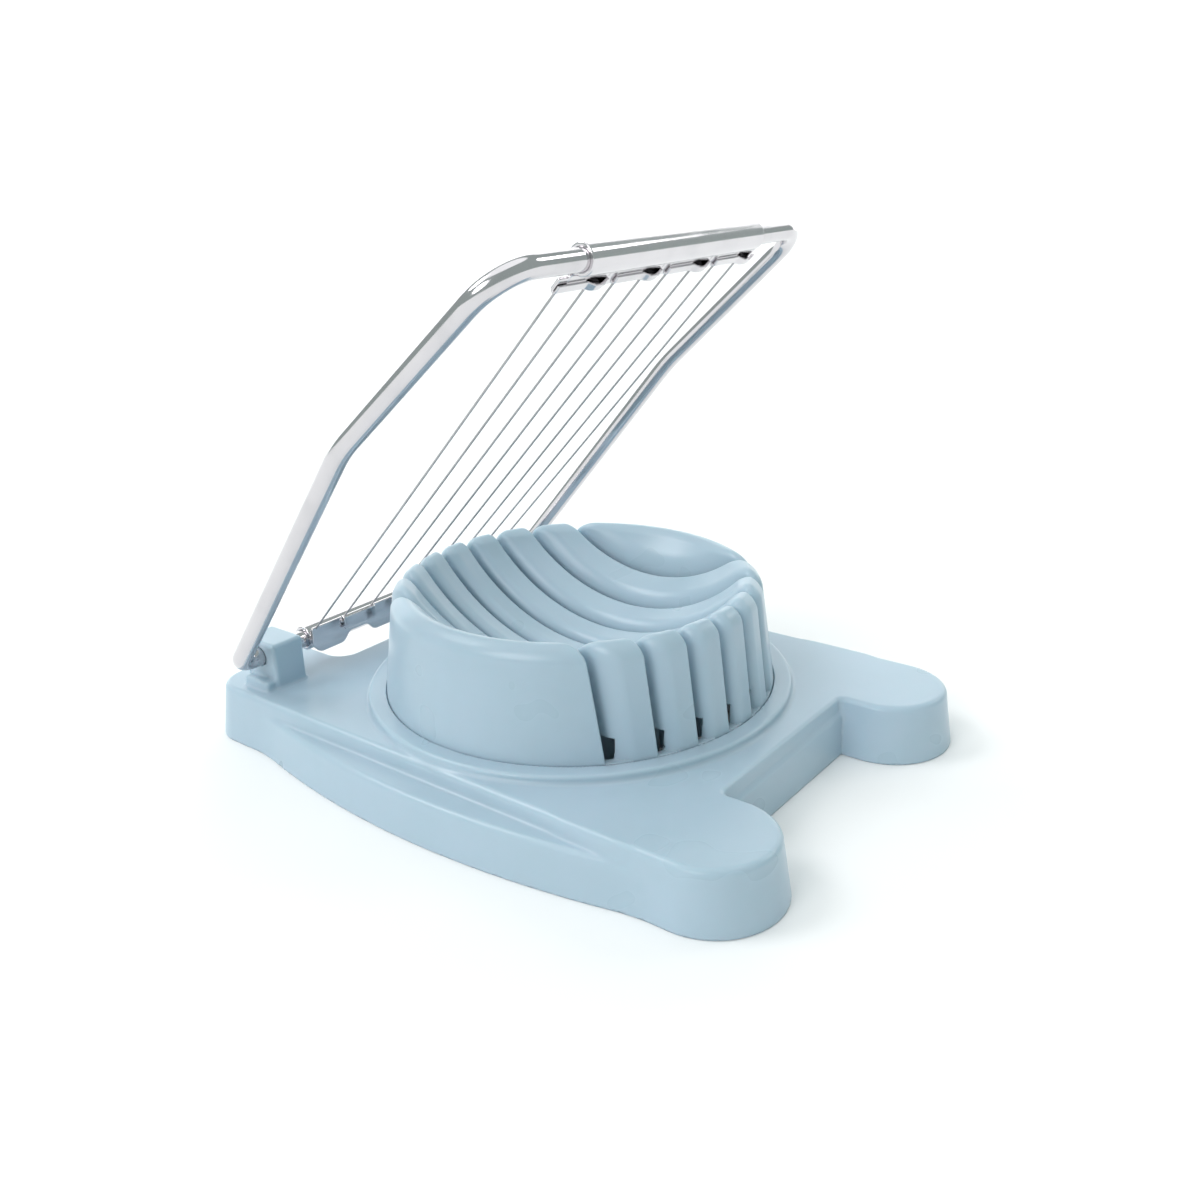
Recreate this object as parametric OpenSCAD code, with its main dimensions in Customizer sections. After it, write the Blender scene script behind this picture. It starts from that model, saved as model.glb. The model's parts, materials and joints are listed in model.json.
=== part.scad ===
// Egg slicer: a moulded tray with a slotted egg cup, and a hinged bow of bent rod that
// carries eight cutting wires between two folded steel carriers.
// X runs along the hinge, the two front feet point to -Y, the hinge is at +Y, Z is up.
// The origin is the middle of the egg cup, on the table.

/* [Tray] */
// How far the tray's top face reaches past the collar at each side
side_margin = 1; // [0.6:0.1:6]
// How far the tray's top face reaches past a hinge lug at least
lug_margin = 2; // [1:0.1:4.8]
// Height of the tray's top face above the table
tray_h = 11; // [9:0.5:16]
// Distance from the hinge axis back to the rear edge
rear_reach = 9.8; // [8:0.1:20]
// Distance from the collar forward to the wall of the finger gap
front_margin = 4.5; // [2:0.5:12]
// Half of the width of the finger gap between the feet
gap_half_w = 20.8; // [12:0.5:24]
// Distance from the gap wall to the middle of a foot's round end
foot_reach = 5; // [3:0.2:14]
// How far the skirt flares outward from the top face to the table
draft = 1.6; // [0:0.1:2.4]
// Radius of the rear corners
corner_r = 6; // [3:0.5:9]
// Thickness of the skirt
skirt_t = 2.2; // [1.4:0.1:3]
// Thickness of the top plate
plate_t = 2.4; // [1.6:0.1:3.2]
// How far the side grips stand out at the table
grip_out = 5.4; // [2:0.2:8]
// Height of the side grips' ledge
grip_h = 8; // [5:0.5:8.5]
// How far a side grip stops short of the finger gap's wall
grip_end = 1.5; // [1:0.5:15]
// Half of the width of the notch in the rear edge
notch_half_w = 20; // [12:0.5:24]
// Distance from the hinge axis forward to the notch's wall
notch_front = 3.4; // [-4:0.2:3.6]

/* [Collar and cup] */
// Width of the raised collar round the cup
collar_w = 3.5; // [1.5:0.1:5]
// Height of the collar above the top face
collar_h = 1.6; // [1:0.1:3]
// Radius of the dish for the egg, at the rim
dish_r = 31.6; // [24:0.1:38]
// Distance from the dish's mouth out to the cup's foot
cup_end = 5.9; // [5.3:0.1:12]
// How much smaller the cup's radius is under its rim than at its foot
cup_taper = 2.2; // [0:0.1:4]
// Height of the rim's crest above the tray's top face
cup_h = 22; // [17:0.5:31]
// Radius of the rounded rim
rim_r = 3; // [1.5:0.1:3.5]
// Thickness of the cup's outer wall
cup_wall = 1.8; // [1.2:0.1:2.4]
// Clearance between the cup and the hole in the tray
cup_gap = 0.1; // [0.05:0.05:0.3]
// Height of the bottom of the dish above the tray's top face
dish_floor_h = 6.4; // [6:0.1:11]
// Distance from the tray's top face down to the lowest face of the cup's ribs
rib_drop = 3; // [1:0.5:6]
// Height of the relief under the ribs' ends, above the tray's top face
relief_h = 5.2; // [3:0.1:5.6]
// Width of the relief, inward from the outer wall
relief_w = 6; // [4:0.5:8]

/* [Wires] */
// Number of wires
wire_count = 8; // [8:1:8]
// Distance from one wire to the next
wire_pitch = 7.24; // [6.4:0.02:7.6]
// Diameter of a wire
wire_d = 0.4; // [0.3:0.05:0.7]
// Width of the slots in the cup
slot_w = 2; // [1.4:0.1:3]

/* [Bow] */
// Diameter of the rod
rod_d = 3.6; // [3:0.1:4.4]
// Distance from the collar back to the hinge axis
hinge_margin = 9.8; // [8.6:0.2:14]
// Clearance between the swinging lower carrier and the tray's top face
swing_gap = 1.72; // [0.3:0.01:3]
// Distance from the middle of the feet's round ends forward to the closed cross bar
bar_past = 4.7; // [0:0.1:8]
// Clearance at least between the cup's foot and an arm of the closed bow
arm_gap = 2.7; // [0.5:0.1:6]
// How far out the arms bow at their knee
knee_out = 3; // [0:0.5:6]
// How far above the line from the hinge to the bar the knee stands
knee_rise = 4.1; // [0:0.1:8]
// Distance from the hinge axis to the knee
knee_at = 63.2; // [45:0.2:80]
// Bend radius at the hinge end of an arm
low_bend_r = 3; // [2.5:0.5:5]
// Bend radius at the knee
knee_bend_r = 30; // [10:1:60]
// Bend radius at the ends of the cross bar
top_bend_r = 8; // [5:0.5:12]
// Angle between the bow's closed plane and its rest position
rest_angle = 46; // [0:1:90]

/* [Hinge lugs] */
// Gap between the lower carrier and a lug
lug_gap = 3.6; // [0.4:0.1:6]
// Straight length of rod between a lug and the bend into the arm
lug_side = 0.8; // [0.3:0.1:3]
// Width of a lug
lug_w = 7.2; // [5:0.1:7.6]
// Length of a lug from front to back
lug_len = 9.4; // [8:0.2:12]
// Wall above the rod's bore
lug_wall = 1.4; // [1:0.1:4]
// Radial clearance of the rod in a lug
hinge_gap = 0.06; // [0.02:0.01:0.1]
// Half of the space between the two ends of the rod, inside the lower carrier
rod_end_half_gap = 2; // [1:0.5:10]

/* [Carriers] */
// Thickness of the carriers' steel sheet
sheet_t = 0.7; // [0.5:0.05:1]
// How far the upper carrier's sleeve ends short of the outermost wire
upper_end = 1.14; // [-3:0.02:2]
// How far the lower carrier reaches past the outermost wire
lower_end = 1.06; // [0.5:0.02:3]
// Distance from the bar's middle to the hem that grips the wires
hem_reach = 5.6; // [4.6:0.1:8]
// Outer radius of the hem
hem_r = 1.1; // [0.9:0.05:1.4]
// Gap between one hem tab, which grips two wires, and the next
tab_gap = 2.08; // [0.6:0.02:4]
// Distance from a tab's left edge to its first wire
tab_lead = 1; // [0.6:0.1:2]
// How far the lower leaf rises above the hinge axis
leaf_up = 2.8; // [2.6:0.1:3]
// How far the lobes hang below the hinge axis
lobe_down = 2.8; // [2.4:0.1:3]
// Width of one lobe
lobe_w = 8.6; // [6:0.1:10]

/* [Hidden] */
$fn = 96;

plastic = "LightSteelBlue";
steel = "Silver";
// What the cutting shapes run past the faces they open, and what joined shapes overlap.
over = 1;
rod_r = rod_d / 2;
bend_thin = 0.02;
bend_lap = 0.2;
cup_foot_r = dish_r + cup_end;
cup_top_r = cup_foot_r - cup_taper;
collar_r = cup_foot_r + collar_w;
collar_top = tray_h + collar_h;
rim_top = tray_h + cup_h;
rib_floor = tray_h - rib_drop;
relief_top = tray_h + relief_h;
dish_depth = cup_h - dish_floor_h;
dish_ball_r = (dish_r * dish_r + dish_depth * dish_depth) / (2 * dish_depth);
sleeve_r = rod_r + sheet_t;
outer_wire = wire_x(wire_count);
upper_half_len = outer_wire - upper_end;
lower_half_len = outer_wire + lower_end;
tab_w = 2 * wire_pitch - tab_gap;
lug_in = lower_half_len + lug_gap;
lug_out = lug_in + lug_w;
arm_half_w = max(cup_foot_r + arm_gap + rod_r, lug_out + lug_side + low_bend_r);
tray_half_w = max(collar_r + side_margin, lug_out + lug_margin);
swing_r = norm([sleeve_r + sheet_t, max(leaf_up, lobe_down)]);
hinge_back = collar_r + hinge_margin;
hinge_h = tray_h + swing_r + swing_gap;
tray_back = hinge_back + rear_reach;
gap_wall = collar_r + front_margin;
grip_half_len = gap_wall - grip_end;
foot_r = (tray_half_w - gap_half_w) / 2;
foot_x = (tray_half_w + gap_half_w) / 2;
foot_y = -gap_wall - foot_reach;
bow_len = hinge_back - foot_y + bar_past;
notch_wall = hinge_back - notch_front;
cavity_top = tray_h - plate_t;
grip_r = (grip_half_len * grip_half_len + grip_out * grip_out) / (2 * grip_out);
grip_x = tray_half_w + draft + grip_out - grip_r;
hole_r = cup_foot_r + cup_gap;
flange_r = min(tray_half_w - skirt_t - cup_gap, cup_foot_r + 2);
flange_t = 2.2;
crest_r = cup_top_r - rim_r;
lug_top = hinge_h + rod_r + lug_wall;
lug_front = hinge_back - lug_len / 2;

// A point of the bow at rest: x along the hinge, u from the hinge to the bar, v above that line.
function bow_point(x, u, v) = [
    x,
    hinge_back - u * cos(rest_angle) + v * sin(rest_angle),
    hinge_h + u * sin(rest_angle) + v * cos(rest_angle)
];
function wire_x(i) = (i - (wire_count + 1) / 2) * wire_pitch;
function unit(v) = v / norm(v);
function frame_matrix(x, y, z, at) = [
    [x[0], y[0], z[0], at[0]],
    [x[1], y[1], z[1], at[1]],
    [x[2], y[2], z[2], at[2]],
    [0, 0, 0, 1]
];
function any_across(z) = unit(cross(z, abs(z[0]) < 0.9 ? [1, 0, 0] : [0, 1, 0]));
// The length that a bend takes from each of the two straight runs it joins.
function bend_cut(a, b, c, r) = r * tan((180 - bend_inside(a, b, c)) / 2);
function bend_inside(a, b, c) = acos(unit(a - b) * unit(c - b));

module rod_run(a, b) {
    z = unit(b - a);
    x = any_across(z);
    multmatrix(frame_matrix(x, cross(z, x), z, a)) cylinder(h = norm(b - a), r = rod_r);
}

module rod_bend(a, b, c, r) {
    inside = bend_inside(a, b, c);
    centre = b + unit(unit(a - b) + unit(c - b)) * r / sin(inside / 2);
    x = unit(b + unit(a - b) * bend_cut(a, b, c, r) - centre);
    z = unit(cross(x, unit(b - a)));
    multmatrix(frame_matrix(x, cross(z, x), z, centre))
        rotate_extrude(angle = 180 - inside) translate([r, 0]) circle(rod_r - bend_thin);
}

// A round rod through the points, with one bend radius for each inner point. Each straight run
// reaches a little way over the bends at its ends, where the rod is a trace thinner.
module bent_rod(p, radii) {
    last = len(p) - 1;
    cuts = [for (i = [0:last]) i == 0 || i == last ? 0 : bend_cut(p[i - 1], p[i], p[i + 1], radii[i - 1])];
    for (i = [0:last - 1]) {
        way = unit(p[i + 1] - p[i]);
        lap_in = i == 0 ? 0 : bend_lap;
        lap_out = i == last - 1 ? 0 : bend_lap;
        rod_run(p[i] + way * (cuts[i] - lap_in), p[i + 1] - way * (cuts[i + 1] - lap_out));
    }
    for (i = [1:last - 1]) rod_bend(p[i - 1], p[i], p[i + 1], radii[i - 1]);
}

// A block along Y whose two long sides flare out by the draft.
module flared_along_y(half_w, from, to) {
    translate([0, to, 0]) rotate([90, 0, 0]) linear_extrude(to - from)
        polygon([[-half_w - draft, 0], [half_w + draft, 0], [half_w, tray_h], [-half_w, tray_h]]);
}

module foot_outer() {
    translate([foot_x, 0, 0]) {
        translate([0, foot_y, 0]) cylinder(h = tray_h, r1 = foot_r + draft, r2 = foot_r);
        flared_along_y(foot_r, foot_y, -gap_wall + over);
    }
}

module side_grip() {
    intersection() {
        translate([grip_x, 0, 0]) cylinder(h = grip_h, r1 = grip_r, r2 = grip_r - draft, $fn = 360);
        translate([tray_half_w - skirt_t, -grip_half_len, 0])
            cube([skirt_t + draft + grip_out, 2 * grip_half_len, grip_h]);
    }
}

module side_grip_pocket() {
    intersection() {
        translate([grip_x, 0, -over])
            cylinder(h = grip_h - plate_t + over, r = grip_r - draft - skirt_t, $fn = 360);
        translate([tray_half_w - 2 * skirt_t, -grip_half_len, -over])
            cube([skirt_t * 2 + draft + grip_out, 2 * grip_half_len, tray_h]);
    }
}

module tray_outer() {
    flared_along_y(tray_half_w, -gap_wall, tray_back - corner_r);
    translate([-tray_half_w + corner_r, 0, 0]) rotate([90, 0, 90])
        linear_extrude(2 * (tray_half_w - corner_r))
            polygon([
                [-gap_wall - draft, 0], [tray_back + draft, 0], [tray_back, tray_h], [-gap_wall, tray_h]
            ]);
    for (side = [0, 1]) mirror([side, 0, 0]) {
        translate([tray_half_w - corner_r, tray_back - corner_r, 0])
            cylinder(h = tray_h, r1 = corner_r + draft, r2 = corner_r);
        foot_outer();
        side_grip();
    }
    cylinder(h = collar_top, r = collar_r);
}

module tray_cavity() {
    inner_w = tray_half_w - skirt_t;
    translate([0, 0, -over]) linear_extrude(cavity_top + over) {
        translate([-inner_w, -gap_wall + skirt_t])
            square([2 * inner_w, gap_wall + notch_wall - 2 * skirt_t]);
        for (side = [-1, 1]) {
            translate([side > 0 ? notch_half_w + skirt_t : -inner_w, 0])
                square([inner_w - notch_half_w - skirt_t, tray_back - skirt_t]);
            translate([side * foot_x, foot_y]) circle(foot_r - skirt_t);
            translate([side * foot_x - foot_r + skirt_t, foot_y])
                square([2 * (foot_r - skirt_t), foot_reach + 2 * skirt_t]);
        }
    }
    for (side = [0, 1]) mirror([side, 0, 0]) side_grip_pocket();
}

module lug() {
    translate([lug_in, lug_front, tray_h - plate_t / 2])
        cube([lug_w, lug_len, lug_top - tray_h + plate_t / 2]);
}

module tray() {
    color(plastic) difference() {
        union() {
            difference() {
                tray_outer();
                tray_cavity();
                translate([-notch_half_w, notch_wall, -over])
                    cube([2 * notch_half_w, tray_back - notch_wall + draft + over, tray_h + 2 * over]);
            }
            for (side = [0, 1]) mirror([side, 0, 0]) lug();
        }
        translate([0, 0, -over]) cylinder(h = collar_top + 2 * over, r = hole_r);
        translate([-tray_half_w, hinge_back, hinge_h]) rotate([0, 90, 0])
            cylinder(h = 2 * tray_half_w, r = rod_r + hinge_gap);
    }
}

// Half of the cup's outline, turned about Z: foot, drafted wall, rounded rim.
module cup_outline() {
    polygon(concat(
        [[0, rib_floor], [cup_foot_r, rib_floor], [cup_foot_r, collar_top], [cup_top_r, rim_top - rim_r]],
        [for (a = [15:15:90]) [crest_r + rim_r * cos(a), rim_top - rim_r + rim_r * sin(a)]],
        [[0, rim_top]]
    ));
}

// The dish that the egg lies in: the lower part of a large ball, open at the rim.
module dish() {
    translate([0, 0, rim_top - dish_depth + dish_ball_r]) sphere(dish_ball_r, $fn = 200);
}

module slots() {
    for (i = [1:wire_count]) {
        translate([wire_x(i) - slot_w / 2, -cup_foot_r - over, collar_top])
            cube([slot_w, 2 * cup_foot_r + 2 * over, rim_top]);
        intersection() {
            translate([wire_x(i) - slot_w / 2, -cup_foot_r, 0])
                cube([slot_w, 2 * cup_foot_r, rim_top + over]);
            cylinder(h = rim_top + over, r = cup_foot_r - cup_wall);
        }
    }
}

module relief() {
    translate([0, 0, -over]) difference() {
        cylinder(h = relief_top + over, r = cup_foot_r - cup_wall);
        cylinder(h = relief_top + 2 * over, r = cup_foot_r - cup_wall - relief_w);
    }
}

module egg_cup() {
    color(plastic) difference() {
        union() {
            rotate_extrude() cup_outline();
            translate([0, 0, cavity_top - flange_t]) cylinder(h = flange_t, r = flange_r);
        }
        dish();
        relief();
        slots();
    }
}

module bow() {
    arm_low = arm_half_w;
    arm_knee = arm_half_w + knee_out;
    color(steel) bent_rod([
        bow_point(-rod_end_half_gap, 0, 0),
        bow_point(-arm_low, 0, 0),
        bow_point(-arm_knee, knee_at, knee_rise),
        bow_point(-arm_low, bow_len, 0),
        bow_point(arm_low, bow_len, 0),
        bow_point(arm_knee, knee_at, knee_rise),
        bow_point(arm_low, 0, 0),
        bow_point(rod_end_half_gap, 0, 0)
    ], [low_bend_r, knee_bend_r, top_bend_r, top_bend_r, knee_bend_r, low_bend_r]);
}

// Places its children in the bow's own directions: Y up the bow towards the bar, Z above it.
module in_bow(u, v) {
    translate(bow_point(0, u, v)) rotate([-rest_angle, 0, 0]) rotate([0, 0, 180]) children();
}

module sleeve(half_len) {
    rotate([0, 90, 0]) difference() {
        cylinder(h = 2 * half_len, r = sleeve_r, center = true);
        cylinder(h = 2 * half_len + over, r = rod_r, center = true);
    }
}

// A hem tab starts a little before one wire and also grips the next one.
function tab_start(k) = wire_x(2 * k + 1) - tab_lead;

module upper_carrier() {
    color(steel) {
        in_bow(bow_len, 0) difference() {
            union() {
                sleeve(upper_half_len);
                translate([-upper_half_len, -hem_reach, -sheet_t / 2])
                    cube([2 * upper_half_len, hem_reach, sheet_t]);
                for (k = [0:wire_count / 2 - 1])
                    translate([-tab_start(k) - tab_w, -hem_reach, 0]) hem();
            }
            rotate([0, 90, 0]) cylinder(h = 3 * upper_half_len, r = rod_r, center = true);
        }
    }
}

module hem() {
    rotate([0, 90, 0]) cylinder(h = tab_w, r = hem_r);
}

module lower_carrier() {
    leaf_y = -sleeve_r - sheet_t / 2;
    color(steel) translate([0, hinge_back, hinge_h]) {
        sleeve(lower_half_len);
        translate([-lower_half_len, leaf_y - sheet_t / 2, -rod_r])
            cube([2 * lower_half_len, sheet_t, leaf_up + rod_r]);
        translate([-lower_half_len, leaf_y, -sheet_t / 2])
            cube([2 * lower_half_len, sheet_t, sheet_t]);
        for (k = [0:wire_count / 2 - 1])
            translate([(wire_x(2 * k + 1) + wire_x(2 * k + 2)) / 2, leaf_y, 0]) lobe();
    }
}

module lobe() {
    translate([-lobe_w / 2, -sheet_t / 2, -lobe_down]) cube([lobe_w, sheet_t, lobe_down]);
}

// A wire runs straight from the top edge of the lower leaf into the upper hem.
module wire_span(i) {
    leaf_y = hinge_back - sleeve_r - sheet_t / 2;
    low = [wire_x(i), leaf_y, hinge_h + leaf_up];
    high = bow_point(wire_x(i), bow_len - hem_reach - hem_r, 0);
    way = unit(high - low);
    x = [1, 0, 0];
    color(steel) multmatrix(frame_matrix(x, cross(way, x), way, low))
        cylinder(h = norm(high - low), r = wire_d / 2, $fn = 24);
}

tray();
egg_cup();
bow();
upper_carrier();
lower_carrier();
wire_span(1);  // wire_1
wire_span(2);  // wire_2
wire_span(3);  // wire_3
wire_span(4);  // wire_4
wire_span(5);  // wire_5
wire_span(6);  // wire_6
wire_span(7);  // wire_7
wire_span(8);  // wire_8
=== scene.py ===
# %% [markdown]
# # An egg slicer: slotted cup, moulded tray and a hinged bow of wires
# This lesson dresses a finished CAD model. The CAD says how big each piece is and where it
# sits; each cell below makes one piece with the softer edges, folds and finishes that a
# moulding or a bent sheet really has. Sizes are written in millimetres, and a piece is
# scaled to metres only when its mesh is made.

# %% Load the frame
import json
import math
import bpy
import numpy as np
from mathutils import Matrix, Vector


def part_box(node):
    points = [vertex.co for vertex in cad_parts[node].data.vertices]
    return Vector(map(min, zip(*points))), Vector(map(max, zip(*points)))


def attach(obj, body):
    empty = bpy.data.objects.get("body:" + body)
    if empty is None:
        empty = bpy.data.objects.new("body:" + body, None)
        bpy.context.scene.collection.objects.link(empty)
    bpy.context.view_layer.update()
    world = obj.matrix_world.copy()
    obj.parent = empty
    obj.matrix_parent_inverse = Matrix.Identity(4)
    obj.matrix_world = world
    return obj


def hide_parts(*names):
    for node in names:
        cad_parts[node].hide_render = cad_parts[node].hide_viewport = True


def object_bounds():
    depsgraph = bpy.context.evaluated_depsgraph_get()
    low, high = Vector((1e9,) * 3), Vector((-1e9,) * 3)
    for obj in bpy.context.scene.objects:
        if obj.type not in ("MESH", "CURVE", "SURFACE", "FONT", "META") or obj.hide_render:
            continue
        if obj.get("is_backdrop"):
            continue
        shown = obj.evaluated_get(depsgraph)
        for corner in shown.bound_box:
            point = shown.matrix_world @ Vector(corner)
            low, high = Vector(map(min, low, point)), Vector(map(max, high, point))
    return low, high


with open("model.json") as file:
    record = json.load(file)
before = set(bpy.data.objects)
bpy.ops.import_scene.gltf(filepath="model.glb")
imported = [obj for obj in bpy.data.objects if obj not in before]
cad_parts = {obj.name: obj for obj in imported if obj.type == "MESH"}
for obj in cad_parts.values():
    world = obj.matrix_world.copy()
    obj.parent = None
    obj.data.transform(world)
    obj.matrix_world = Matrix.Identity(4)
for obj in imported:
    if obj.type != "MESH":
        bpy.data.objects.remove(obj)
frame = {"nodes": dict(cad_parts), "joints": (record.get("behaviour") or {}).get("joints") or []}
cad_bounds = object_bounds()
MM = 0.001

# %% [markdown]
# ## Read the main sizes back from the CAD
# Measuring the CAD nodes keeps the looks and the CAD in step: if a size changes there, most
# of the pieces here follow it. The hinge's place comes from the joint itself.

# %% Main sizes
tray_low, tray_high = (np.array(p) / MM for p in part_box("tray"))
cup_low, cup_high = (np.array(p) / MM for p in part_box("egg_cup"))
hinge = frame["joints"][0]
hinge_y, hinge_z = (value / MM for value in hinge["pos_m"][1:])
wire_count = sum(name.startswith("wire_") for name in frame["nodes"])
wire_boxes = [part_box(f"wire_{i + 1}") for i in range(wire_count)]
wire_xs = [(low[0] + high[0]) / 2 / MM for low, high in wire_boxes]
pitch = (wire_xs[-1] - wire_xs[0]) / (wire_count - 1)
print("hinge at", round(hinge_y, 2), round(hinge_z, 2), "wire pitch", round(pitch, 2))

# %% [markdown]
# ## Shapes from distances
# Moulded plastic has a small radius on every edge. A signed distance field makes those radii
# easy: each form is a function that is negative inside and grows by one for each millimetre
# outside, and two forms join or cut each other with a radius in one line. The same idea is
# behind "rounded" booleans in sculpting tools. Modelling the fillets by hand over sixteen
# crossing slots would take far longer and would be hard to change.

# %% Join and cut with a radius
def join(a, b, radius):
    """The union of two forms, with a hollow fillet of this radius where they meet."""
    near = np.hypot(np.maximum(radius - a, 0), np.maximum(radius - b, 0))
    return np.maximum(radius, np.minimum(a, b)) - near


def keep(a, b, radius):
    """What both forms share, with its new edge rounded to this radius."""
    near = np.hypot(np.maximum(radius + a, 0), np.maximum(radius + b, 0))
    return np.minimum(-radius, np.maximum(a, b)) + near


def block(offsets, halves, radius):
    """A box with rounded edges: offsets are distances from its middle along each axis."""
    q = [np.abs(o) - h + radius for o, h in zip(offsets, halves)]
    outside = np.sqrt(sum(np.maximum(a, 0) ** 2 for a in q))
    inside = q[0]
    for a in q[1:]:
        inside = np.maximum(inside, a)
    return outside + np.minimum(inside, 0) - radius


def ramp(value, start, end):
    """0 before start, 1 after end, and a smooth S between."""
    t = np.clip((value - start) / (end - start), 0, 1)
    return t * t * (3 - 2 * t)


# %% [markdown]
# ## From a distance field to a mesh
# The field is sampled on a regular grid, and one vertex goes in each grid cell that the
# surface passes through. A few Newton steps then pull every vertex onto the true surface, and
# the field's own slope gives exact shading normals, so flat faces stay flat and small radii
# shade cleanly even where the grid is coarse.

# %% Skin a field with quads
def slope(field, p, step=0.02):
    """The field's gradient at points p, by small steps to both sides."""
    columns = []
    for axis in range(3):
        ahead, behind = p.copy(), p.copy()
        ahead[:, axis] += step
        behind[:, axis] -= step
        columns.append((field(*ahead.T) - field(*behind.T)) / (2 * step))
    return np.stack(columns, 1)


def sample(field, low, high, cell):
    """The field's values on a grid, one slice after another so that memory stays small."""
    axes = [np.arange(a, b + cell, cell) for a, b in zip(low, high)]
    values = np.empty([len(a) for a in axes], np.float32)
    y, z = np.meshgrid(axes[1], axes[2], indexing="ij")
    for i, x in enumerate(axes[0]):
        values[i] = field(np.full_like(y, x), y, z)
    return values


def skin(field, low, high, cell):
    """Vertices, quads and normals of the surface where the field is zero."""
    low = np.asarray(low, float)
    values = sample(field, low, high, cell)
    inside = values < 0
    corners = [(i, j, k) for i in (0, 1) for j in (0, 1) for k in (0, 1)]
    counts = sum(inside[tuple(slice(c, c - 1 or None) for c in corner)].astype(np.int8)
                 for corner in corners)
    cells = np.argwhere((counts > 0) & (counts < 8))
    number = np.full(counts.shape, -1, np.int64)
    number[tuple(cells.T)] = np.arange(len(cells))
    total, hits = np.zeros((len(cells), 3)), np.zeros(len(cells))
    at_corner = {c: values[tuple((cells + c).T)] for c in corners}
    for a in corners:
        for axis in range(3):
            if a[axis]:
                continue
            b = tuple(1 if n == axis else c for n, c in enumerate(a))
            va, vb = at_corner[a], at_corner[b]
            crossed = (va < 0) != (vb < 0)
            t = np.where(crossed, va / np.where(crossed, va - vb, 1), 0)
            total += np.where(crossed[:, None], np.array(a) + t[:, None] * (np.array(b) - np.array(a)), 0)
            hits += crossed
    points = low + (cells + total / hits[:, None]) * cell
    quads = []
    for axis in range(3):
        ahead = np.roll(inside, -1, axis)
        crossing = inside != ahead
        crossing[tuple(-1 if n == axis else slice(None) for n in range(3))] = False
        edges = np.argwhere(crossing)
        others = [n for n in range(3) if n != axis]
        good = np.all([(edges[:, n] > 0) & (edges[:, n] < values.shape[n] - 1) for n in others], axis=0)
        edges = edges[good]
        ring = []
        for du, dv in ((1, 1), (0, 1), (0, 0), (1, 0)):
            shift = np.zeros(3, int)
            shift[others[0]], shift[others[1]] = du, dv
            ring.append(number[tuple((edges - shift).T)])
        ring = np.stack(ring, 1)
        leaving = inside[tuple(edges.T)]
        flip = leaving if axis == 1 else ~leaving
        ring[flip] = ring[flip][:, ::-1]
        quads.append(ring)
    for _ in range(3):
        g = slope(field, points)
        step = field(*points.T)[:, None] * g / np.maximum((g * g).sum(1), 0.05)[:, None]
        points -= np.clip(step, -0.5 * cell, 0.5 * cell)
    normals = slope(field, points)
    normals /= np.maximum(np.linalg.norm(normals, axis=1), 1e-9)[:, None]
    return points, np.concatenate(quads), normals


# %% [markdown]
# ## From points to a Blender object
# Two small helpers turn arrays into objects. One takes the skinned field, the other sweeps a
# round section along a path, which is how a rod or a wire is drawn.

# %% Mesh helpers
def new_object(name, points, faces, normals=None):
    mesh = bpy.data.meshes.new(name)
    faces = faces if isinstance(faces, list) else faces.tolist()
    mesh.from_pydata((np.asarray(points) * MM).tolist(), [], faces)
    mesh.polygons.foreach_set("use_smooth", [True] * len(mesh.polygons))
    if normals is not None:
        mesh.normals_split_custom_set_from_vertices(normals.tolist())
    mesh.update()
    made = bpy.data.objects.new(name, mesh)
    bpy.context.scene.collection.objects.link(made)
    print(name, len(mesh.vertices), "vertices", [round(d / MM, 1) for d in made.dimensions])
    return made


def bend_path(points, radii, step_degrees=3):
    """A path through the points with a true arc at each inner one."""
    points = [Vector(p) for p in points]
    path = [points[0]]
    for before, corner, after, radius in zip(points, points[1:], points[2:], radii):
        back, on = (before - corner).normalized(), (after - corner).normalized()
        turn = math.pi - back.angle(on)
        centre = corner + (back + on).normalized() * radius / math.cos(turn / 2)
        first = corner + back * radius * math.tan(turn / 2)
        spoke, axis = first - centre, back.cross(on)
        steps = max(4, math.ceil(math.degrees(turn) / step_degrees))
        for i in range(steps + 1):
            path.append(centre + Matrix.Rotation(-turn * i / steps, 3, axis) @ spoke)
    return path + [points[-1]]


def sweep(name, path, radius, sides, cap_round=0.3):
    """A closed round bar along a path, with softened ends."""
    directions = [(b - a).normalized() for a, b in zip(path, path[1:])]
    middles = [(a + b).normalized() for a, b in zip(directions, directions[1:])]
    along = [directions[0]] + middles + [directions[-1]]
    across = along[0].orthogonal().normalized()
    rings = []
    ends = [(-1e-4, radius - cap_round)]
    ends += [(cap_round * (1 - math.cos(a)), radius - cap_round * (1 - math.sin(a))) for a in (0.5, 1.0, 1.57)]
    stations = [(path[0] + along[0] * back, 0, r) for back, r in ends]
    stations += [(p, i, radius) for i, p in enumerate(path[1:-1], 1)]
    stations += [(path[-1] - along[-1] * back, len(path) - 1, r) for back, r in reversed(ends)]
    spokes = [(math.cos(2 * math.pi * k / sides), math.sin(2 * math.pi * k / sides)) for k in range(sides)]
    for centre, i, r in stations:
        across = (across - along[i] * across.dot(along[i])).normalized()
        other = along[i].cross(across)
        rings.append([centre + (across * c + other * s) * r for c, s in spokes])
    points = [p for ring in rings for p in ring]
    faces = []
    for m in range(len(rings) - 1):
        here, there = m * sides, (m + 1) * sides
        for k in range(sides):
            after = (k + 1) % sides
            faces.append([here + k, here + after, there + after, there + k])
    faces += [list(range(sides))[::-1], [(len(rings) - 1) * sides + k for k in range(sides)]]
    return new_object(name, [tuple(p) for p in points], faces)


# %% [markdown]
# ## A small language for shader maths
# Node trees for roughness and colour are mostly arithmetic. This class wraps one output
# socket, so that `0.3 + noise * 0.1` adds the Math nodes by itself and the recipe below reads
# like the formula it is.

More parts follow.
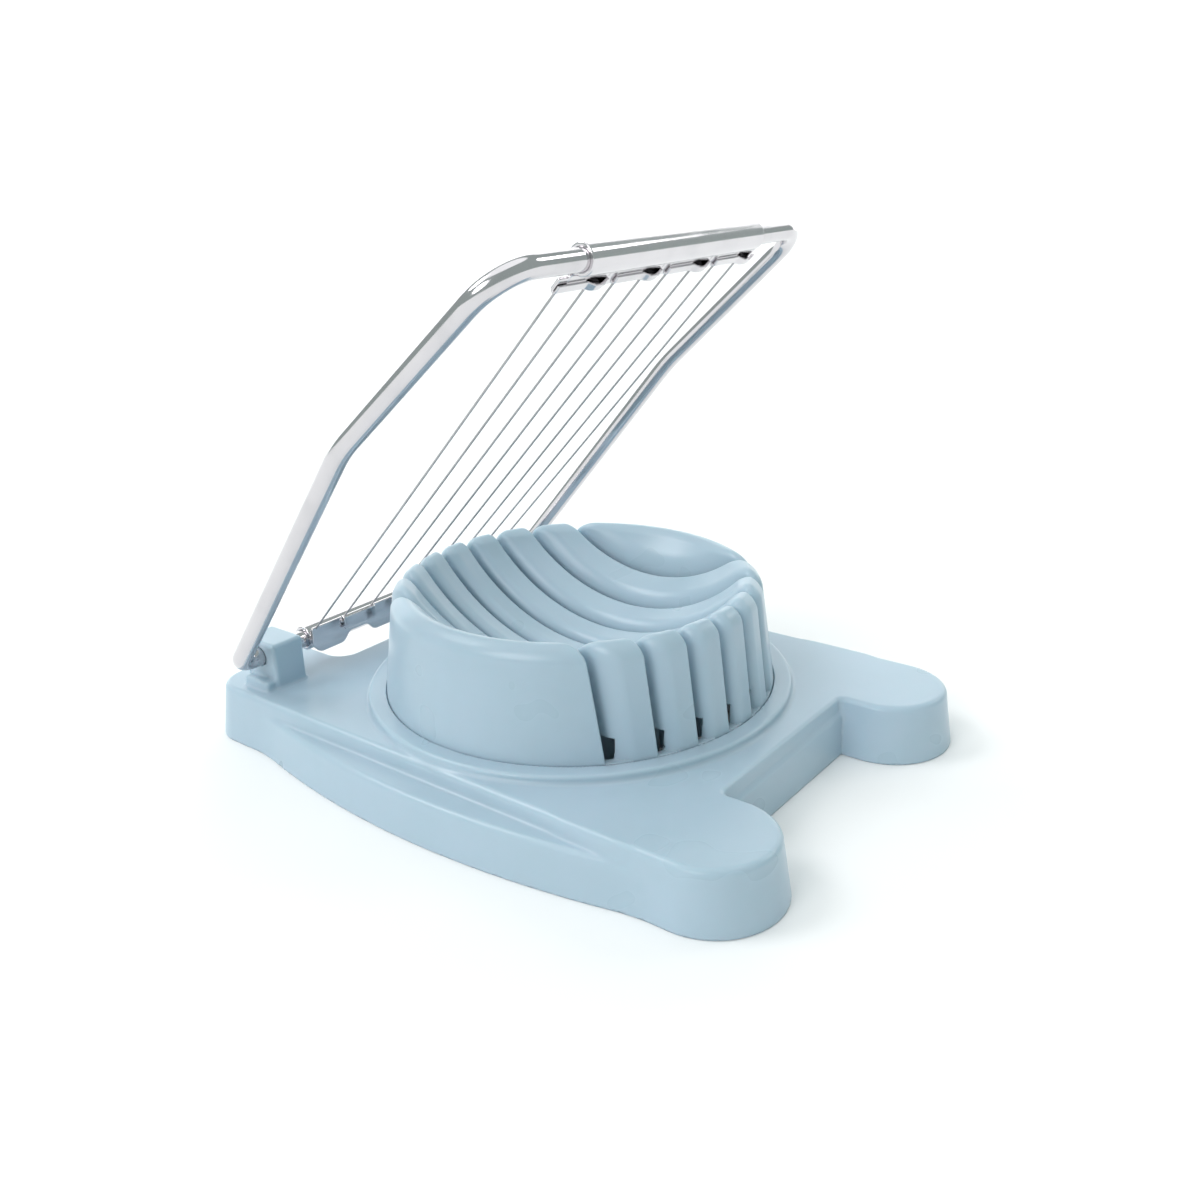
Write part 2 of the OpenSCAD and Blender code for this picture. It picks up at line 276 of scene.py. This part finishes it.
# %% Wrap a socket
class Signal:
    """One output socket of a material's node tree, which can be used in a sum or a product."""

    def __init__(self, tree, socket):
        self.tree, self.socket = tree, socket

    def _math(self, operation, left, right):
        node = self.tree.nodes.new("ShaderNodeMath")
        node.operation = operation
        for slot, value in zip(node.inputs, (left, right)):
            put(self.tree, slot, value)
        return Signal(self.tree, node.outputs[0])

    def __add__(self, other): return self._math("ADD", self, other)
    def __radd__(self, other): return self._math("ADD", other, self)
    def __sub__(self, other): return self._math("SUBTRACT", self, other)
    def __rsub__(self, other): return self._math("SUBTRACT", other, self)
    def __mul__(self, other): return self._math("MULTIPLY", self, other)
    def __rmul__(self, other): return self._math("MULTIPLY", other, self)

    def between(self, low, high):
        """0 where the signal is at or below low, 1 at or above high, smooth between."""
        return recipe(self.tree, "ShaderNodeMapRange", {"interpolation_type": "SMOOTHSTEP"},
                      Value=self, From_Min=low, From_Max=high)[0]


def put(tree, slot, value):
    """Links a signal to a socket, or writes a plain value into it."""
    if isinstance(value, Signal):
        tree.links.new(value.socket, slot)
    else:
        slot.default_value = value


def recipe(tree, kind, settings=None, **inputs):
    """Adds any node: its type, its settings, then its sockets by name. Returns its outputs."""
    node = tree.nodes.new(kind)
    for name, value in (settings or {}).items():
        setattr(node, name, value)
    for name, value in inputs.items():
        put(tree, node.inputs[name.replace("_", " ")], value)
    return [Signal(tree, out) for out in node.outputs if out.enabled]


def blend_colours(tree, share, first, second):
    """The first colour where share is 0, and the second where it is 1."""
    node = tree.nodes.new("ShaderNodeMix")
    node.data_type = "RGBA"
    put(tree, node.inputs[0], share)
    put(tree, node.inputs[6], first)
    put(tree, node.inputs[7], second)
    return Signal(tree, node.outputs[2])


def new_material(name):
    material = bpy.data.materials.new(name)
    material.use_nodes = True
    tree = material.node_tree
    shader = tree.nodes["Principled BSDF"]
    place = recipe(tree, "ShaderNodeTexCoord")
    names = [o.name for o in tree.nodes[-1].outputs]
    return material, tree, shader, place[names.index("Object")]


def stretched(tree, place, scale):
    """The same coordinates, scaled by its own amount along each axis."""
    node = tree.nodes.new("ShaderNodeVectorMath")
    node.operation = "MULTIPLY"
    put(tree, node.inputs[0], place)
    put(tree, node.inputs[1], scale)
    return Signal(tree, node.outputs[0])


def noise(tree, place, scale, detail=3.0, roughness=0.5):
    """A cloudy signal from 0 to 1; scale is in lumps per metre along each axis."""
    return recipe(tree, "ShaderNodeTexNoise", None, Vector=stretched(tree, place, scale), Scale=1.0,
                  Detail=detail, Roughness=roughness)[0]


def bump(tree, height, strength, distance):
    """A bump from a height signal; distance is the height in metres."""
    return recipe(tree, "ShaderNodeBump", None, Height=height, Strength=strength, Distance=distance)[0]


# %% [markdown]
# ## Finish: pale moulded plastic
# The tray and cup are a satin plastic that lets a little light in, so its shadows turn teal
# instead of grey. Three things keep it from looking like paint: faint clouds of colour where
# the melt flowed, a roughness that wanders a little, and a very shallow unevenness.

# %% Moulded plastic
plastic, tree, shader, place = new_material("moulded_plastic")
flow = noise(tree, place, (38.0, 55.0, 60.0), detail=2.0)
swirl = noise(tree, place, (170.0, 170.0, 170.0), detail=4.0, roughness=0.6)
pale, deep = (0.425, 0.545, 0.640, 1.0), (0.405, 0.530, 0.615, 1.0)
colour = blend_colours(tree, (flow * 0.7 + swirl * 0.3).between(0.3, 0.7), deep, pale)
put(tree, shader.inputs["Base Color"], colour)
put(tree, shader.inputs["Roughness"], 0.28 + (flow - 0.5) * 0.05)
put(tree, shader.inputs["Normal"], bump(tree, swirl, 0.04, 0.00002))
shader.inputs["Subsurface Weight"].default_value = 0.22
shader.inputs["Subsurface Radius"].default_value = (0.45, 0.95, 0.85)
shader.inputs["Subsurface Scale"].default_value = 0.0025
shader.inputs["IOR"].default_value = 1.5
shader.inputs["Specular IOR Level"].default_value = 0.42
print("plastic nodes:", len(tree.nodes))

# %% [markdown]
# ## Finish: bright rod, folded sheet and drawn wire
# All three are steel, and what tells them apart is the direction of their marks. The rod has
# long polishing lines and small dull patches from handling, the sheet has rolling lines along
# its length, and the wire keeps fine rings from the drawing die.

# %% Metals
def steel(name, tone, dark, rough, line_scale, line_depth):
    material, tree, shader, place = new_material(name)
    lines = noise(tree, place, line_scale, detail=4.0, roughness=0.7)
    smudge = noise(tree, place, (130.0, 130.0, 130.0), detail=3.0)
    worn = smudge.between(0.45, 0.8)
    put(tree, shader.inputs["Base Color"], blend_colours(tree, lines * 0.5 + worn * 0.5, tone, dark))
    put(tree, shader.inputs["Roughness"], rough + worn * 0.09 + (lines - 0.5) * 0.05)
    put(tree, shader.inputs["Normal"], bump(tree, lines, 0.15, line_depth))
    shader.inputs["Metallic"].default_value = 1.0
    return material


rod_steel = steel("polished_rod",
                  (0.72, 0.69, 0.71, 1), (0.60, 0.58, 0.60, 1), 0.11, (600.0, 60.0, 60.0), 0.00002)
sheet_steel = steel("folded_sheet",
                    (0.76, 0.73, 0.75, 1), (0.62, 0.60, 0.62, 1), 0.13, (90.0, 1500.0, 1500.0), 0.00003)
wire_steel = steel("cutting_wire",
                   (0.52, 0.50, 0.51, 1), (0.40, 0.39, 0.40, 1), 0.28, (3000.0, 3000.0, 600.0), 0.00002)

# %% [markdown]
# ## The tray
# The tray is a shallow moulding, open underneath, with a skirt that leans outward so that it
# leaves the mould. Its plan is one wide body joined to two round-nosed feet, and it is made
# here as an outline that grows with depth. Both sides are alike, so x is taken as its size.

# %% Tray sizes
tray_top = 11.0
draft = 1.6
half_w, skirt, plate = tray_high[0] - 7.0, 2.2, 2.4
rear = tray_high[1] - draft
foot_x, foot_r, foot_y = 31.4, 10.6, tray_low[1] + draft + 10.6
gap_y = foot_y + 5.0
collar_r, collar_top, hole_r, cup_r = 41.0, 12.6, 37.6, 37.5
grip_top, grip_half, grip_r = 8.0, 44.0, 181.96
grip_centre = tray_high[0] - grip_r
notch_half, notch_y = 20.0, hinge_y - 3.4
lug_x, lug_halves = 33.6, (3.6, 4.7)
bore_r = 1.86


# %% Tray field
def tray_plan(s, y):
    body = block((s, y - (rear + gap_y) / 2), (half_w, (rear - gap_y) / 2), 6.0)
    foot = np.hypot(s - foot_x, y - np.clip(y, foot_y, foot_y + 20)) - foot_r
    return join(body, foot, 1.2)


def tray_field(x, y, z):
    s = np.abs(x)
    rho = np.hypot(x, y)
    plan = tray_plan(s, y)
    crisp = ramp(y, gap_y + 1.5, gap_y - 0.5) * ramp(s, 21.5, 19.5)
    skirt_side = (plan - draft * (tray_top - z) / tray_top) * 0.99
    solid = keep(skirt_side, z - tray_top, 1.0 - 0.55 * crisp)
    grip_side = np.hypot(s - grip_centre, y) - grip_r + draft * z / grip_top
    grip = keep(keep(grip_side, z - grip_top, 0.9), np.abs(y) - grip_half - 2.5, 0.6)
    solid = join(solid, grip, 0.8)
    notch = block((x, y - notch_y - 20), (notch_half, 20.0), 4.0)
    hollow_plan = keep(plan + skirt, skirt - notch, 1.0)
    pocket_side = np.hypot(s - grip_centre, y) - grip_r + draft + skirt
    pocket = keep(keep(pocket_side, np.abs(y) - grip_half, 0.5), z - (grip_top - plate), 0.5)
    underside = np.minimum(keep(hollow_plan, z - (tray_top - plate), 0.6), pocket)
    solid = keep(solid, -z, 0.3)
    solid = keep(solid, -underside, 0.35)
    collar = keep(rho - collar_r, z - collar_top, 0.7)
    collar = np.maximum(collar, (tray_top - 1.5) - z)
    solid = join(solid, collar, 0.9)
    lug_low, lug_top = tray_top - 1.0, hinge_z + 3.2
    lug_middle = (lug_low + lug_top) / 2
    lug = block((s - lug_x, y - hinge_y, z - lug_middle), (*lug_halves, lug_top - lug_middle), 0.8)
    heel = block((s - lug_x - 4.2, y - hinge_y + 0.6, z - tray_top - 0.4), (1.5, 3.6, 1.6), 0.6)
    solid = join(solid, join(lug, heel, 0.5), 0.6)
    solid = keep(solid, -notch, 0.6)
    solid = keep(solid, hole_r - rho, 0.12)
    bore = np.hypot(y - hinge_y, z - hinge_z) - bore_r
    return keep(solid, -bore, 0.25)


# %% Skin the tray
fine = 1.0
tray_shape = skin(tray_field, tray_low - 1.0, (*(tray_high[:2] + 1.0), tray_high[2] + 1.0), 0.42 * fine)
tray = new_object("moulded_tray", *tray_shape)
tray.data.materials.append(plastic)
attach(tray, "base")
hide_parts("tray")

# %% [markdown]
# ## The egg cup
# The cup is a ring of ribs: one turned form with a round dish for the egg, cut into slices by the
# slots that the wires drop into. On the real moulding each rib is soft on one upright corner
# and crisp on the other, because the core that forms the slot leans on one side, and the
# same asymmetry is written here as two different radii.

# %% Cup sizes
cup_top_r, rim_r = 35.3, 3.2
rim_z = cup_high[2]
dish_r, dish_floor = 31.6, 17.4
dish_ball = (dish_r ** 2 + (rim_z - dish_floor) ** 2) / (2 * (rim_z - dish_floor))
slot_half, wall, relief_z, rib_low = 1.0, 1.8, 16.2, cup_low[2] + 1.6


# %% Cup field
def cup_field(x, y, z):
    rho = np.hypot(x, y)
    lean = (cup_r - cup_top_r) / (rim_z - rim_r - collar_top)
    side = (rho - cup_r + lean * np.maximum(z - collar_top, 0)) * 0.992
    outer = keep(side, z - rim_z, rim_r)
    dish = np.hypot(rho, z - dish_floor - dish_ball) - dish_ball
    form = keep(outer, -dish, 1.6)
    number = np.clip(np.floor((x - wire_xs[0]) / pitch), -1, wire_count - 1)
    left = np.where(number >= 0, wire_xs[0] + number * pitch + slot_half - x, -50.0)
    right = np.where(number <= wire_count - 2, x - (wire_xs[0] + (number + 1) * pitch - slot_half), -50.0)
    ribs = keep(keep(form, left, 2.1), right, 0.5)
    relief = np.maximum(np.maximum(z - relief_z, cup_r - wall - 6.0 - rho), rho - (cup_r - wall))
    ribs = np.maximum(keep(ribs, -relief, 0.2), rib_low - z)
    ring = np.maximum(np.maximum(rho - cup_r, z - collar_top), np.maximum(cup_r - wall - rho, rib_low - z))
    flange = np.maximum(np.maximum(rho - 39.4, cup_r - wall - rho), np.abs(z - 7.5) - 1.05)
    return np.minimum(np.minimum(ribs, ring), flange)


# %% Skin the cup
cup_shape = skin(cup_field, cup_low - 1.0, cup_high + 1.0, 0.28 * fine)
cup = new_object("slotted_cup", *cup_shape)
cup.data.materials.append(plastic)
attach(cup, "base")
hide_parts("egg_cup")

# %% [markdown]
# ## The bow
# One steel rod is bent into a frame: a bar across the top, a knee in each arm, and two ends
# that turn inward through the lugs and meet inside the lower carrier. A round section swept
# along arcs is what a rod bender makes, so it is built in the same way.

# %% Bow path
lean_angle = math.radians(46)
bow_len, arm_w, knee_u, knee_out, knee_rise = 106.0, 42.0, 63.2, 3.0, 4.1
rod_r = 1.8


def on_bow(x, u, v):
    """A point at rest: u runs from the hinge up to the bar, v stands off above that plane."""
    return Vector((x, hinge_y - u * math.cos(lean_angle) + v * math.sin(lean_angle),
                   hinge_z + u * math.sin(lean_angle) + v * math.cos(lean_angle)))


corners = [on_bow(-2, 0, 0), on_bow(-arm_w, 0, 0), on_bow(-arm_w - knee_out, knee_u, knee_rise),
           on_bow(-arm_w, bow_len, 0), on_bow(arm_w, bow_len, 0),
           on_bow(arm_w + knee_out, knee_u, knee_rise), on_bow(arm_w, 0, 0), on_bow(2, 0, 0)]
rod_path = bend_path(corners, [3, 30, 8, 8, 30, 3])
bow = sweep("bent_bow_rod", rod_path, rod_r, 48)
bow.data.materials.append(rod_steel)
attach(bow, "wire_frame")
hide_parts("bow")

# %% [markdown]
# ## The upper carrier
# A strip of thin steel wraps the bar and hangs down as a flat leaf. Its lower edge is folded
# back into four tabs, each over two wires. A tab is pressed flat, and opens into a small dark
# hollow past its second wire. The field is written in the bow's own directions and turned.

# %% Upper carrier field
sleeve_r, sheet = 2.5, 0.7
upper_half, hem_u, tab_w = wire_xs[-1] - 1.14, bow_len - 5.6, 2 * pitch - 2.08
tab_starts = [wire_xs[2 * k] - 1.0 for k in range(wire_count // 2)]


def upper_field(x, u, v):
    rad = np.hypot(u - bow_len, v)
    tube = keep(np.maximum(rad - sleeve_r, rod_r - 0.05 - rad), np.abs(x) - upper_half, 0.25)
    leaf_u, leaf_half = (hem_u + bow_len) / 2 - 0.4, (bow_len - hem_u) / 2 + 0.4
    leaf = block((x, u - leaf_u, v), (upper_half, leaf_half, sheet / 2), 0.2)
    form = join(np.maximum(leaf, rod_r - rad), tube, 0.7)
    for start in tab_starts:
        middle, second = start + tab_w / 2, start + 1.0 + pitch
        bulge = ramp(x, second - 1.6, second + 0.9) * ramp(x, start + tab_w - 0.2, start + tab_w - 2.4)
        r = 0.32 + 0.27 * bulge
        centre_v = -0.05 - r
        ring = np.abs(np.hypot((u - hem_u) * 0.85, v - centre_v) - r) - 0.2
        lip_top = hem_u + 1.1 - 0.35 * bulge
        far_side = np.maximum(np.abs(v - centre_v + r) - 0.2, hem_u - u)
        lip = np.where(u < hem_u, ring, np.where(v < centre_v, np.maximum(far_side, u - lip_top), 5.0))
        tab = keep(lip * 0.85, np.abs(x - middle) - tab_w / 2, 0.2)
        strip = block((x - middle, u - hem_u - 0.9, v), (tab_w / 2, 1.2, sheet / 2), 0.25)
        form = join(form, np.minimum(tab, strip), 0.15)
    return np.maximum(form, rod_r - 0.05 - rad)


# %% Skin the upper carrier
low, high = (-28.5, hem_u - 3, -3.6), (31.5, bow_len + 3.4, 3.6)
points, quads, normals = skin(upper_field, low, high, 0.13 * fine)
lean_c, lean_s = math.cos(lean_angle), math.sin(lean_angle)
turn = np.array([[1, 0, 0], [0, -lean_c, lean_s], [0, lean_s, lean_c]])
upper = new_object("upper_wire_carrier", points @ turn.T + (0, hinge_y, hinge_z),
                   quads[:, ::-1], normals @ turn.T)
upper.data.materials.append(sheet_steel)
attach(upper, "wire_frame")
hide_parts("upper_carrier")

# %% [markdown]
# ## The lower carrier
# The second strip wraps the rod's two ends and becomes the hinge's middle. Its leaf stands in
# front of the axle, four round-bottomed lobes hang from it, and short folds along its top edge
# hold the wires.

# %% Lower carrier field
lower_half = wire_xs[-1] + 1.06
leaf_y, leaf_top, lobe_low = -sleeve_r - sheet / 2, 2.8, -2.8


def lower_field(x, y, z):
    y, z = y - hinge_y, z - hinge_z
    rad = np.hypot(y, z)
    tube = keep(np.maximum(rad - sleeve_r, rod_r - 0.05 - rad), np.abs(x) - lower_half, 0.25)
    plan = block((x, z - (leaf_top - 0.9) / 2), (lower_half, (leaf_top + 0.9) / 2), 0.5)
    for k in range(wire_count // 2):
        lobe_x = (wire_xs[2 * k] + wire_xs[2 * k + 1]) / 2
        plan = join(plan, block((x - lobe_x, z + 0.7), (4.3, -lobe_low - 0.7), 2.05), 1.2)
    leaf = keep(plan, np.abs(y - leaf_y) - sheet / 2, 0.2)
    form = join(tube, leaf, 0.5)
    for k in range(wire_count // 2 - 1):
        fold_x = (wire_xs[2 * k + 1] + wire_xs[2 * k + 2]) / 2
        r = 0.5
        ring = np.abs(np.hypot(y - leaf_y + r + 0.1, z - leaf_top + 0.45) - r) - 0.25
        fold = np.where(y < leaf_y - r - 0.1, np.maximum(ring, leaf_top - 1.5 - z), ring)
        front = block((x - fold_x, y - leaf_y + 2 * r + 0.1, z - leaf_top + 1.5), (4.3, 0.28, 1.05), 0.2)
        fold = keep(np.minimum(fold, front), np.abs(x - fold_x) - 4.3, 0.25)
        form = join(form, fold, 0.15)
    return form


# %% Skin the lower carrier
low, high = (-28.5, hinge_y - 5.5, hinge_z - 3.8), (28.5, hinge_y + 3.6, hinge_z + 4.2)
lower_shape = skin(lower_field, low, high, 0.13 * fine)
lower = new_object("lower_wire_carrier", *lower_shape)
lower.data.materials.append(sheet_steel)
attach(lower, "wire_frame")
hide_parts("lower_carrier")

# %% [markdown]
# ## The wires
# Eight taut wires run from the lower leaf's top edge into the crimps. Each is drawn a trace
# longer than the open span so that both ends vanish inside the folds.

# %% Wires
wire_r = 0.2
for i, x in enumerate(wire_xs, 1):
    low = Vector((x, hinge_y + leaf_y, hinge_z + leaf_top - 0.5))
    high = on_bow(x, hem_u - 0.5, -0.3)
    bead = on_bow(x, hem_u + 0.35, -0.3)
    wire = sweep(f"cutting_wire_{i}", [low, low.lerp(high, 0.5), high, bead], wire_r, 16, 0.08)
    wire.data.materials.append(wire_steel)
    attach(wire, "wire_frame")
    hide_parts(f"wire_{i}")

# %% [markdown]
# ## Camera
# The view is from the front left and a little above, with a normal lens quite close to the
# object, which is why the near foot looks larger than the far one.

# %% Camera
azimuth, elevation, roll = (math.radians(a) for a in (-51.85, 21.27, -1.78))
back = Vector((math.sin(azimuth) * math.cos(elevation), -math.cos(azimuth) * math.cos(elevation), math.sin(elevation)))
right = Vector((math.cos(azimuth), math.sin(azimuth), 0))
up = back.cross(right)
right, up = right * math.cos(roll) + up * math.sin(roll), up * math.cos(roll) - right * math.sin(roll)
look_at = Vector((23.76, 13.22, 17.01)) * MM
camera = bpy.data.objects.new("camera", bpy.data.cameras.new("camera"))
camera.data.lens, camera.data.sensor_width = 34.87, 36.0
camera.data.clip_start = 0.005
distance = 0.25151
facing = Matrix((right, up, back)).transposed().to_4x4()
camera.matrix_world = Matrix.Translation(look_at + back * distance) @ facing
bpy.context.scene.collection.objects.link(camera)
bpy.context.scene.camera = camera
print("camera", round(distance / MM), "mm away, lens", round(camera.data.lens, 1), "mm")

# %% [markdown]
# ## Floor and light
# A product on white needs light from everywhere, and a stronger soft source on the left to
# give the form a side. Two tighter lights draw the bright lines along the moulding's edges.
# A glowing wall behind the object keeps the background white.

# %% Floor
def sheet_of(name, centre, across, down, tone, glow=0.0):
    mesh = bpy.data.meshes.new(name)
    centre, across, down = Vector(centre), Vector(across), Vector(down)
    corners = [centre + across * a + down * b for a, b in ((-1, -1), (1, -1), (1, 1), (-1, 1))]
    mesh.from_pydata(corners, [], [(0, 1, 2, 3)])
    made = bpy.data.objects.new(name, mesh)
    bpy.context.scene.collection.objects.link(made)
    material, tree, shader, place = new_material(name)
    mottle = noise(tree, place, (6.0, 6.0, 6.0))
    duller = (*(0.98 * c for c in tone[:3]), 1)
    put(tree, shader.inputs["Base Color"], blend_colours(tree, mottle, tone, duller))
    shader.inputs["Roughness"].default_value = 0.9
    shader.inputs["Specular IOR Level"].default_value = 0.1
    put(tree, shader.inputs["Emission Color"], tone)
    shader.inputs["Emission Strength"].default_value = glow
    mesh.materials.append(material)
    made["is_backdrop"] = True


paper = (0.97, 0.97, 0.97, 1)
sheet_of("floor", (0, 0, -0.00005), (6, 0, 0), (0, 6, 0), paper)
away = Vector((-back.x, -back.y, 0)).normalized()
sheet_of("backdrop", away * 3, (-away.y * 4, away.x * 4, 0), (0, 0, 2.5), paper, 0.8)
print("floor 12 m wide, backdrop 3 m away")

# %% Lights
def soft_sun(name, towards, strength, spread, tint):
    """A light from one side of the sky; spread is how wide it looks, in degrees."""
    light = bpy.data.objects.new(name, bpy.data.lights.new(name, "SUN"))
    light.data.energy, light.data.angle, light.data.color = strength, math.radians(spread), tint
    light.rotation_euler = Vector(towards).to_track_quat("Z", "Y").to_euler()
    bpy.context.scene.collection.objects.link(light)


soft_sun("left_key", (-0.85, 0.02, 0.50), 0.95, 30, (1.0, 0.98, 1.0))
soft_sun("overhead", (0.00, 0.15, 1.00), 0.70, 60, (1.0, 0.98, 1.0))
soft_sun("back_edge", (-0.36, 0.58, 0.73), 0.85, 24, (1.0, 0.99, 1.0))
soft_sun("right_edge", (0.73, -0.36, 0.58), 0.30, 16, (1.0, 0.99, 1.0))
world = bpy.data.worlds.new("studio")
world.use_nodes = True
world.node_tree.nodes["Background"].inputs["Color"].default_value = (0.86, 1.0, 0.97, 1)
world.node_tree.nodes["Background"].inputs["Strength"].default_value = 0.44
bpy.context.scene.world = world
bpy.context.scene.view_settings.view_transform = "Standard"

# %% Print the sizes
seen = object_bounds()
for title, box in (("CAD box", cad_bounds), ("visual", seen)):
    print(title, [[round(c / MM, 1) for c in p] for p in box])
